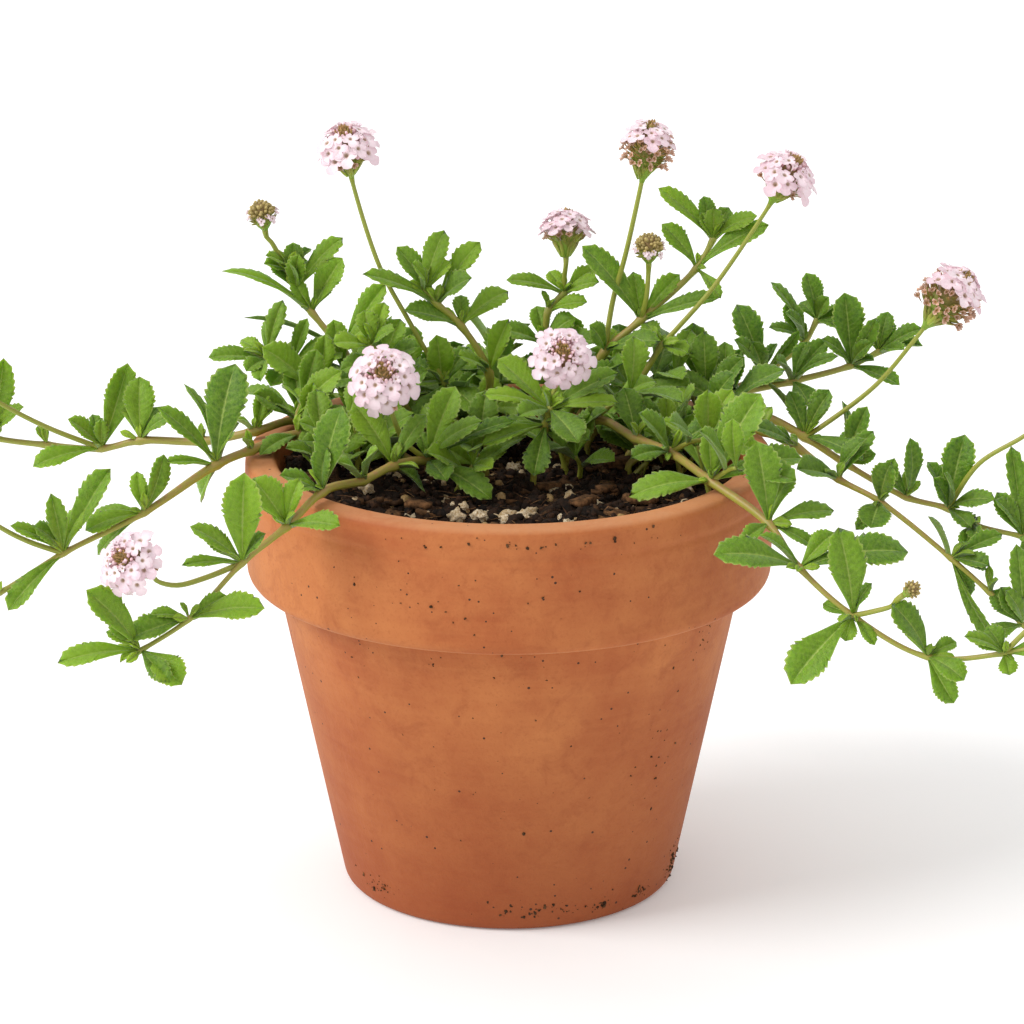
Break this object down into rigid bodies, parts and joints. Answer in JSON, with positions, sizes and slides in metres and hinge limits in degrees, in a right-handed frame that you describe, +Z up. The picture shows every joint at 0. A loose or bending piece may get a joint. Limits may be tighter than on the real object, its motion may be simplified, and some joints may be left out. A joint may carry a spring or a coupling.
{
  "type": "frogfruit plant in a terracotta pot",
  "caption": "Creeping herb of the verbena family in a terracotta pot, with toothed leaves on trailing stems and round pink-white flower heads on long stalks.",
  "frame": {"origin": "the middle of the pot's underside, at table height, under the middle of the whole plant's box", "axes": "+Z up along the pot's axis, +X to the right along the plant's longest spread, -Y towards the front, where two runners trail over the lip"},
  "size_m": [0.296, 0.1731, 0.1897],
  "materials": {
    "terracotta": "matte",
    "potting_soil": "matte",
    "foliage": "satin",
    "petals": "matte",
    "buds": "matte"
  },
  "bodies": {
    "root": {"pot": "terracotta", "soil": "potting_soil", "runner_front_left": "foliage", "runner_left": "foliage", "runner_left_back": "foliage", "runner_front_right": "foliage", "runner_right": "foliage", "runner_right_outer": "foliage", "shoot_right_back": "foliage", "shoot_right": "foliage", "shoot_right_tall": "foliage", "shoot_mid": "foliage", "shoot_left_tall": "foliage", "shoot_left_low": "foliage", "shoot_left_mid": "foliage", "shoot_right_mid": "foliage", "tuft_centre": "foliage", "tuft_back": "foliage", "tuft_left": "foliage", "runner_back_left": "foliage", "runner_back": "foliage", "runner_back_right": "foliage", "head_1_open": "petals", "head_2_open": "petals", "head_3_young": "petals", "head_4_young": "petals", "head_5_bud": "buds", "head_6_young": "petals", "head_7_open": "petals", "head_8_young": "petals", "head_9_faded": "petals", "head_10_young": "petals", "head_11_young": "petals", "head_12_open": "petals", "head_13_open": "petals", "head_14_open": "petals", "head_15_open": "petals"}
  },
  "joints": []
}
